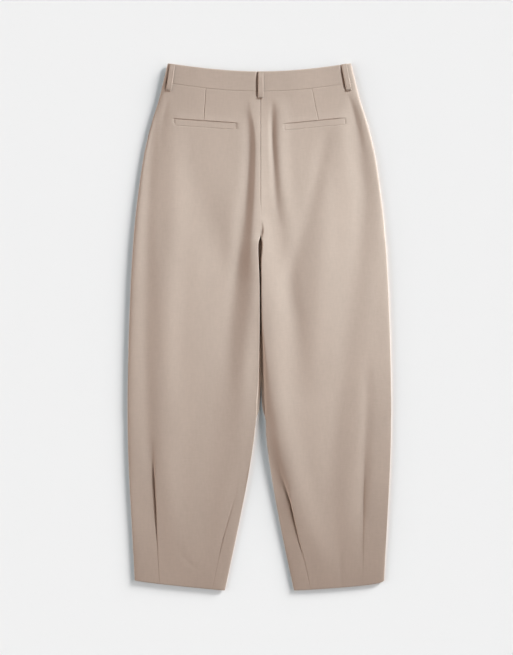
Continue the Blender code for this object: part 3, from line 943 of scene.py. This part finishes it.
def panel_skin(side, under, inset):
    """One skin of a front or back panel, from the waist seam to the hem."""
    down = (FRONT_ROWS if under else BACK_ROWS)[:, None]
    share = FRONT_COLUMNS if under else back_shares(side, down)
    top = waist_edge(share, FRONT_DIP if under else BACK_DIP, lower=1)
    bottom = hem_edge(side, share)
    drop = top + down * (bottom - top)
    inside = inset > 0
    if inside:
        turned = smooth_step(HEM_TURN + HEM_TURN_STEP, HEM_TURN, bottom - drop)
        inset = inset + HEM_TURN_CLOTH * turned
    skin = surface(side, share, drop, under, inset)
    if not (under or inside):
        skin[..., 2] -= SEAM_ROUND * bell(drop - top, SEAM_ROUND_REACH)
        skin[..., 2] -= HEM_ROUND * bell(bottom - drop, HEM_ROUND_REACH)
    return skin


def band_skin(side, under, inset):
    """One skin of half the waistband, from its top edge to just above the waist seam."""
    share = FRONT_COLUMNS if under else back_shares(side, np.array([[0.0]]))
    dip = FRONT_DIP if under else BACK_DIP
    top = waist_edge(share, dip, lower=0)
    seam = waist_edge(share, dip, lower=1) - SEAM_GAP
    drop = top + BAND_ROWS[:, None] * (seam - top)
    skin = surface(side, share, drop, under, inset, finished=False)
    if under:
        return skin
    skin[..., 2] += BAND_RISE + cloth_waver(skin[..., 0], drop)
    if inset == 0:
        skin[..., 2] -= SEAM_ROUND * bell(seam - drop, SEAM_ROUND_REACH)
        skin[..., 2] -= BAND_EDGE_ROUND * bell(drop - top, BAND_EDGE_REACH)
    return skin


BACK_ROWS = panel_rows()
FRONT_ROWS = np.append(crowded(180, 0.6), 1.0)
FRONT_COLUMNS = np.append(crowded(64, 0.85), 1.0)
BAND_ROWS = np.append(crowded(24, 0.85), 1.0)
LOOP_ALONG = np.append(crowded(40, 0.7), 1.0)
LOOP_ACROSS = np.append(crowded(14, 0.8), 1.0) - 0.5
WELT_ALONG = np.append(crowded(90, 0.8), 1.0)
WELT_ACROSS = np.append(crowded(14, 0.8), 1.0)


def height_over(x, drop, under):
    """The z of the outer skin, without its finer form, at a place given by its x and drop."""
    lean = column_of(SECTIONS, "lean", drop)
    z = np.zeros_like(x)
    for side, sign in SIDES.items():
        fold, inner = edges_of(side, drop)
        share = np.clip((x - fold) / (inner - fold), 0.0, 1.0)
        here = surface(side, share, drop, under, 0.0, finished=False)[..., 2]
        z = np.where(sign * (x - lean) >= 0, here, z)
    return z


def strip_skin(ends, along, beside, lift, under):
    """One skin of a straight strip that lies on the trousers. along is shares of its length,
    beside is metres to one side, and lift is how far each point is off the skin under it."""
    start, end = np.array(ends)
    run = (end - start) / np.linalg.norm(end - start)
    across = np.array([-run[1], run[0]])
    place = start + along[..., None] * (end - start) + beside[..., None] * across
    x, drop = place[..., 0], place[..., 1]
    z = height_over(x, drop, under) + (-lift if under else lift)
    return np.stack([x, LENGTH / 2 - drop, z], axis=-1)


def add_belt_loop(name, ends, stand_off, under, cloth):
    """A folded strip sewn down at both ends, which stands off the waistband between them."""
    length = np.linalg.norm(np.subtract(*ends))
    along, beside = np.meshgrid(LOOP_ALONG, LOOP_ACROSS * BELT_LOOP_WIDTH, indexing="ij")
    to_edge = BELT_LOOP_WIDTH / 2 - np.abs(beside)
    to_end = np.minimum(along, 1 - along) * length
    bowed = smooth_step(0.0, LOOP_SPRING, to_end)
    low = LOOP_BED + (stand_off - LOOP_BED) * bowed
    soft_edge = 1 - rise(to_edge, LOOP_EDGE, ROUND)
    hollow = LOOP_HOLLOW * (1 - bell(to_edge - LOOP_EDGE * LOOP_EDGES_TO_RIDGE, LOOP_EDGE))
    thick = LOOP_CLOTH * (LOOP_END_CLOTH + (1 - LOOP_END_CLOTH) * bowed)
    high = low + thick * (1 - LOOP_ROUND_ABOVE * soft_edge) - hollow * bowed
    low = low + LOOP_ROUND_BELOW * LOOP_CLOTH * soft_edge
    skins = [strip_skin(ends, along, beside, lift, under) for lift in (high, low)]
    return add_wall(name, *skins, cloth)


def add_welt(name, side, cloth):
    """The strip that edges a back pocket. Its upper long edge is the pocket's mouth."""
    ends = WELT_MOUTHS[side]
    down_the_back = 1.0 if ends[1][0] > ends[0][0] else -1.0
    width = WELT_HEIGHT * down_the_back
    along, beside = np.meshgrid(WELT_ALONG, WELT_ACROSS * width, indexing="ij")
    length = np.linalg.norm(np.subtract(*ends))
    to_mouth = WELT_ACROSS[None, :] * WELT_HEIGHT
    to_sewn_edge = np.minimum(WELT_HEIGHT - to_mouth, np.minimum(along, 1 - along) * length)
    soft_edge = 1 - rise(to_mouth, WELT_EDGE, ROUND)
    soft_edge = np.maximum(soft_edge, WELT_FLUSH * (1 - rise(to_sewn_edge, WELT_EDGE, ROUND)))
    flat = strip_skin(ends, along, beside, np.zeros_like(along), under=False)
    low = WELT_LIFT + cloth_waver(flat[..., 0], LENGTH / 2 - flat[..., 1])
    high = low + WELT_CLOTH * (1 - WELT_ROUND * soft_edge)
    skins = [strip_skin(ends, along, beside, lift, under=False) for lift in (high, low)]
    return add_wall(name, *skins, cloth)


def add_bar_tack(name, centre, width, height, lift, under, thread):
    """A row of close zigzag stitches across the end of a loop."""
    steps = 2 * round(width / TACK_STITCH)
    curve = bpy.data.curves.new(name, "CURVE")
    curve.dimensions = "3D"
    curve.bevel_depth = TACK_THREAD / 2
    curve.bevel_resolution = 1
    curve.use_fill_caps = True
    line = curve.splines.new("POLY")
    line.points.add(steps)
    x = centre[0] + (np.arange(steps + 1) / steps - 0.5) * width
    drop = centre[1] + np.where(np.arange(steps + 1) % 2, 0.5, -0.5) * height
    z = height_over(x, drop, under) + (-lift if under else lift)
    for point, place in zip(line.points, np.stack([x, LENGTH / 2 - drop, z], axis=-1)):
        point.co = (*place, 1.0)
    curve.materials.append(thread)
    tack = bpy.data.objects.new(name, curve)
    bpy.context.scene.collection.objects.link(tack)
    return tack


def group_socket(group, name, direction, value=None):
    """A named number that goes into a node group, or comes out of it."""
    socket = group.interface.new_socket(name=name, in_out=direction, socket_type="NodeSocketFloat")
    if value is not None:
        socket.default_value = value


def link(tree, source, output, target, entry):
    """Joins an output of one node to an input of another."""
    tree.links.new(source.outputs[output], target.inputs[entry])


def math_node(tree, operation, first, second=None, third=None):
    """A Math node, whose inputs are numbers or (node, output)."""
    node = tree.nodes.new("ShaderNodeMath")
    node.operation = operation
    for entry, value in enumerate((first, second, third)):
        if isinstance(value, tuple):
            link(tree, *value, node, entry)
        elif value is not None:
            node.inputs[entry].default_value = value
    return node


def noise_node(tree, source, output, scale, detail, stretch=(1, 1, 1)):
    """Noise at a number of patches to the metre, over a place that is stretched first."""
    mapping = tree.nodes.new("ShaderNodeMapping")
    mapping.inputs["Scale"].default_value = stretch
    link(tree, source, output, mapping, "Vector")
    noise = tree.nodes.new("ShaderNodeTexNoise")
    noise.inputs["Scale"].default_value = scale
    noise.inputs["Detail"].default_value = detail
    link(tree, mapping, "Vector", noise, "Vector")
    return noise


def fine_twill_group():
    """The weave: close diagonal ribs with threads of uneven thickness across them."""
    group = bpy.data.node_groups.new("Fine twill", "ShaderNodeTree")
    group_socket(group, "Grain angle", "INPUT", 0.0)
    group_socket(group, "Ribs per metre", "INPUT", RIBS_PER_METRE)
    group_socket(group, "Height", "OUTPUT")
    group_socket(group, "Thread shade", "OUTPUT")
    inputs = group.nodes.new("NodeGroupInput")
    outputs = group.nodes.new("NodeGroupOutput")
    place = group.nodes.new("ShaderNodeTexCoord")
    turn = group.nodes.new("ShaderNodeVectorRotate")
    turn.rotation_type = "Z_AXIS"
    link(group, place, "Object", turn, "Vector")
    link(group, inputs, "Grain angle", turn, "Angle")
    axes = group.nodes.new("ShaderNodeSeparateXYZ")
    link(group, turn, "Vector", axes, "Vector")
    warp = noise_node(group, turn, "Vector", WARP_PATCHES, 2.0, WARP_STRETCH)
    weft = noise_node(group, turn, "Vector", WEFT_PATCHES, 2.0, WEFT_STRETCH)
    diagonal = math_node(group, "MULTIPLY_ADD", (axes, "Y"), TWILL_SLOPE, (axes, "X"))
    wander = math_node(group, "MULTIPLY_ADD", (warp, "Fac"), RIB_WANDER, (diagonal, 0))
    turns = math_node(group, "MULTIPLY", (wander, 0), (inputs, "Ribs per metre"))
    ribs = math_node(group, "SINE", (math_node(group, "MULTIPLY", (turns, 0), math.tau), 0))
    rib_height = math_node(group, "MULTIPLY_ADD", (ribs, 0), RIB_HEIGHT, 0.5)
    height = math_node(group, "MULTIPLY_ADD", (weft, "Fac"), WEFT_HEIGHT, (rib_height, 0))
    threads = math_node(group, "ADD", (warp, "Fac"), (weft, "Fac"))
    shade = math_node(group, "MULTIPLY", (threads, 0), 0.5)
    link(group, height, 0, outputs, "Height")
    link(group, shade, 0, outputs, "Thread shade")
    return group


def soft_nap_group():
    """The brushed surface: broad changes of tone where the nap lies another way, and fine fuzz."""
    group = bpy.data.node_groups.new("Soft nap", "ShaderNodeTree")
    group_socket(group, "Patches per metre", "INPUT", NAP_PATCHES)
    group_socket(group, "Lie", "OUTPUT")
    group_socket(group, "Fuzz", "OUTPUT")
    inputs = group.nodes.new("NodeGroupInput")
    outputs = group.nodes.new("NodeGroupOutput")
    place = group.nodes.new("ShaderNodeTexCoord")
    lie = noise_node(group, place, "Object", NAP_PATCHES, 3.0, NAP_STRETCH)
    link(group, inputs, "Patches per metre", lie, "Scale")
    fuzz = noise_node(group, place, "Object", FUZZ_PATCHES, 3.0)
    link(group, lie, "Fac", outputs, "Lie")
    link(group, fuzz, "Fac", outputs, "Fuzz")
    return group


def ramp_node(tree, source, output, low, high, dark, light):
    """Colours from dark to light, as the value runs from low to high."""
    ramp = tree.nodes.new("ShaderNodeValToRGB")
    ramp.color_ramp.elements[0].position = low
    ramp.color_ramp.elements[0].color = (*dark, 1.0)
    ramp.color_ramp.elements[1].position = high
    ramp.color_ramp.elements[1].color = (*light, 1.0)
    link(tree, source, output, ramp, "Fac")
    return ramp


# The places of a Mix node's sockets for colours
MIX_FIRST_COLOUR = 6
MIX_SECOND_COLOUR = 7
MIX_COLOUR_RESULT = 2


def blend_node(tree, kind, amount, first, second):
    """A Mix node for colours. Each input is (node, output)."""
    mix = tree.nodes.new("ShaderNodeMix")
    mix.data_type = "RGBA"
    mix.blend_type = kind
    mix.inputs["Factor"].default_value = amount
    link(tree, *first, mix, MIX_FIRST_COLOUR)
    link(tree, *second, mix, MIX_SECOND_COLOUR)
    return mix


def cloth_finish(name, twill, nap, grain_angle=0.0):
    """The trousers' cloth: a fine matt twill, brushed a little."""
    material = bpy.data.materials.new(name)
    material.use_nodes = True
    tree = material.node_tree
    shader = tree.nodes["Principled BSDF"]
    shader.inputs["Metallic"].default_value = 0.0
    shader.inputs["IOR"].default_value = 1.45
    shader.inputs["Specular IOR Level"].default_value = 0.25
    shader.inputs["Sheen Weight"].default_value = CLOTH_SHEEN
    shader.inputs["Sheen Roughness"].default_value = 0.6
    weave = tree.nodes.new("ShaderNodeGroup")
    weave.node_tree = twill
    weave.inputs["Grain angle"].default_value = grain_angle
    weave.inputs["Ribs per metre"].default_value = RIBS_PER_METRE
    brushed = tree.nodes.new("ShaderNodeGroup")
    brushed.node_tree = nap
    brushed.inputs["Patches per metre"].default_value = NAP_PATCHES
    dark = [c * (1 - NAP_CONTRAST) for c in CLOTH_COLOUR]
    light = [c * (1 + NAP_CONTRAST) for c in CLOTH_COLOUR]
    lie = ramp_node(tree, brushed, "Lie", 0.32, 0.68, dark, light)
    thread_dark = [1 - THREAD_CONTRAST] * 3
    threads = ramp_node(tree, weave, "Thread shade", 0.35, 0.65, thread_dark, [1.0] * 3)
    colour = blend_node(tree, "MULTIPLY", 1.0, (lie, "Color"), (threads, "Color"))
    link(tree, colour, MIX_COLOUR_RESULT, shader, "Base Color")
    rough = math_node(tree, "MULTIPLY_ADD", (brushed, "Fuzz"), FUZZ_ROUGHNESS, CLOTH_ROUGHNESS)
    link(tree, rough, 0, shader, "Roughness")
    fuzz = math_node(tree, "MULTIPLY_ADD", (brushed, "Fuzz"), FUZZ_HEIGHT, (weave, "Height"))
    bump = tree.nodes.new("ShaderNodeBump")
    bump.inputs["Strength"].default_value = BUMP_STRENGTH
    bump.inputs["Distance"].default_value = BUMP_HEIGHT
    link(tree, fuzz, 0, bump, "Height")
    link(tree, bump, "Normal", shader, "Normal")
    return material


def thread_finish(nap):
    """The sewing thread of the bar tacks, a shade darker than the cloth."""
    material = bpy.data.materials.new("sewing_thread")
    material.use_nodes = True
    tree = material.node_tree
    shader = tree.nodes["Principled BSDF"]
    shader.inputs["Roughness"].default_value = 0.6
    brushed = tree.nodes.new("ShaderNodeGroup")
    brushed.node_tree = nap
    brushed.inputs["Patches per metre"].default_value = PLY_PATCHES
    dark, light = [[c * tone for c in CLOTH_COLOUR] for tone in SEWING_THREAD_TONES]
    ply = ramp_node(tree, brushed, "Lie", 0.35, 0.65, dark, light)
    link(tree, ply, "Color", shader, "Base Color")
    return material


def floor_finish():
    """Plain pale paper."""
    material = bpy.data.materials.new("pale_paper")
    material.use_nodes = True
    tree = material.node_tree
    shader = tree.nodes["Principled BSDF"]
    shader.inputs["Roughness"].default_value = 0.95
    shader.inputs["Specular IOR Level"].default_value = 0.0
    place = tree.nodes.new("ShaderNodeTexCoord")
    fibre = noise_node(tree, place, "Object", 300.0, 2.0)
    pale = [FLOOR_TONE - FLOOR_MOTTLE] * 3
    paler = [FLOOR_TONE + FLOOR_MOTTLE] * 3
    paper = ramp_node(tree, fibre, "Fac", 0.3, 0.7, pale, paler)
    link(tree, paper, "Color", shader, "Base Color")
    return material


def add_floor():
    """One wide sheet of paper, a hair under the cloth."""
    mesh = bpy.data.meshes.new("floor")
    half = FLOOR_SIZE / 2
    corners = [(-half, -half), (half, -half), (half, half), (-half, half)]
    mesh.from_pydata([(x, y, FLOOR_LEVEL) for x, y in corners], [], [(0, 1, 2, 3)])
    mesh.materials.append(floor_finish())
    floor = bpy.data.objects.new("floor", mesh)
    bpy.context.scene.collection.objects.link(floor)
    return floor


def aim(lamp, target):
    """Turns a lamp so that it points at a place."""
    lamp.rotation_mode = "QUATERNION"
    lamp.rotation_quaternion = (Vector(target) - lamp.location).to_track_quat("-Z", "Y")


def lamp_for(name, data, lit, location=LAMP_PLACE):
    """A lamp that lights only these objects. Its usual place is low, and on the upper right."""
    lamp = bpy.data.objects.new(name, data)
    lamp.location = location
    bpy.context.scene.collection.objects.link(lamp)
    receivers = bpy.data.collections.new(name + "_lights")
    for piece in lit:
        receivers.objects.link(piece)
    lamp.light_linking.receiver_collection = receivers
    return lamp


def add_key_lamp():
    """The lamp on the trousers: a small one, whose flattened beam fades over the waist and hems."""
    distance = math.dist(LAMP_PLACE, (0, 0, 0))
    sine = LAMP_PLACE[2] / distance
    beam = bpy.data.lights.new("key_lamp", "SPOT")
    beam.shadow_soft_size = BEAM_SOURCE
    beam.spot_size = BEAM_ANGLE
    beam.spot_blend = 1.0
    beam.color = BEAM_COLOUR
    beam.energy = KEY_SHARE * 4 * math.pi**2 * distance**2 / sine * BEAM_GAIN
    lamp = lamp_for("key_lamp", beam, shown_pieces())
    aim(lamp, BEAM_TARGET)
    lamp.rotation_quaternion = lamp.rotation_quaternion @ Quaternion((0, 0, 1), BEAM_ROLL)
    lamp.scale = (1.0, BEAM_FLATTENING, 1.0)


def add_floor_light(floor):
    """The same light on the floor, but broad and even, and the fill."""
    distance = math.dist(LAMP_PLACE, (0, 0, 0))
    even = bpy.data.lights.new("floor_lamp", "SUN")
    even.angle = 2 * math.atan(FLOOR_LAMP_SIZE / 2 / distance)
    even.energy = FLOOR_KEY_SHARE * math.pi / (LAMP_PLACE[2] / distance)
    aim(lamp_for("floor_lamp", even, [floor]), (0, 0, 0))
    fill = bpy.data.lights.new("floor_fill", "SUN")
    fill.angle = FLOOR_FILL_ANGLE
    fill.color = FLOOR_FILL
    fill.energy = math.pi / math.sin(FLOOR_FILL_ELEVATION)
    aim(lamp_for("floor_fill", fill, [floor], FLOOR_FILL_PLACE), (0, 0, 0))


def add_glow():
    """The two screens, as a glow that depends on how far sideways its direction is."""
    world = bpy.data.worlds.new("studio_glow")
    world.use_nodes = True
    tree = world.node_tree
    glow = tree.nodes["Background"]
    glow.inputs["Color"].default_value = (*GLOW_COLOUR, 1)
    place = tree.nodes.new("ShaderNodeTexCoord")
    axes = tree.nodes.new("ShaderNodeSeparateXYZ")
    link(tree, place, "Generated", axes, "Vector")
    sideways = math_node(tree, "ABSOLUTE", (axes, "X"))
    screens = tree.nodes.new("ShaderNodeMapRange")
    screens.interpolation_type = "SMOOTHSTEP"
    screens.inputs["From Min"].default_value = GLOW_FROM
    screens.inputs["From Max"].default_value = GLOW_FULL
    screens.inputs["To Min"].default_value = GLOW_LEVEL * GLOW_BETWEEN
    screens.inputs["To Max"].default_value = GLOW_LEVEL
    link(tree, sideways, "Value", screens, "Value")
    link(tree, screens, "Result", glow, "Strength")
    bpy.context.scene.world = world


def add_camera():
    """A long lens, straight over the trousers."""
    data = bpy.data.cameras.new("camera")
    data.lens = CAMERA_LENS
    data.sensor_width = CAMERA_SENSOR
    camera = bpy.data.objects.new("camera", data)
    camera.location = CAMERA_PLACE
    bpy.context.scene.collection.objects.link(camera)
    bpy.context.scene.camera = camera


def dress(piece, node):
    """The piece hangs from the root body, and the solid that it stands in for, if it has one, is
    hidden.
    """
    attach(piece, "root")
    if node:
        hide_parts(node)


def make_half(side, leg_cloth, band_cloth, strip_cloth):
    """One half's two leg panels, its front waistband and its pocket welt."""
    for node, under in (("front_" + side, True), ("back_" + side, False)):
        skins = [panel_skin(side, under, inset) for inset in (0.0, CLOTH)]
        dress(add_wall(node + "_panel", *skins, leg_cloth), node)
    skins = [band_skin(side, True, inset) for inset in (0.0, BAND_CLOTH)]
    node = "waistband_front_" + side
    dress(add_wall(node + "_cloth", *skins, band_cloth), node)
    node = "pocket_welt_" + side
    welt = add_welt(node + "_cloth", side, strip_cloth)
    dress(welt, node)


def make_back_waistband(band_cloth):
    """The two halves of the back waistband in one piece, which meet where the seat seam starts."""
    skins = []
    for inset in (0.0, BAND_CLOTH):
        left, right = [band_skin(side, False, inset) for side in SIDES]
        skins.append(np.concatenate([left[:, :-1], right[:, -2::-1]], axis=1))
    band = add_wall("waistband_back_cloth", *skins, band_cloth)
    dress(band, "waistband_back")


def make_belt_loop(node, ends, stand_off, under, strip_cloth, thread):
    """A belt loop with a bar tack across its lower end."""
    loop = add_belt_loop(node + "_cloth", ends, stand_off, under, strip_cloth)
    place = (ends[1][0], ends[1][1] - TACK_UP)
    lift = LOOP_BED + LOOP_CLOTH
    tack = add_bar_tack(node + "_tack", place, TACK_WIDTH, TACK_HEIGHT, lift, under, thread)
    dress(tack, None)
    dress(loop, node)


def make_trousers():
    """All the cloth and the stitches, half by half."""
    twill = fine_twill_group()
    nap = soft_nap_group()
    leg_cloth = cloth_finish("leg_cloth", twill, nap)
    band_cloth = cloth_finish("band_cloth", twill, nap, grain_angle=math.pi / 2)
    strip_cloth = cloth_finish("strip_cloth", twill, nap)
    thread = thread_finish(nap)
    for side in SIDES:
        make_half(side, leg_cloth, band_cloth, strip_cloth)
    make_back_waistband(band_cloth)
    for place, ends in BACK_LOOPS.items():
        node = "belt_loop_back_" + place
        make_belt_loop(node, ends, BELT_LOOP_STAND_OFF, False, strip_cloth, thread)
    for place, ends in FRONT_LOOPS.items():
        make_belt_loop("belt_loop_front_" + place, ends, LOOP_BED, True, strip_cloth, thread)


make_trousers()
add_key_lamp()
add_floor_light(add_floor())
add_glow()
add_camera()
bpy.context.scene.view_settings.view_transform = "Standard"
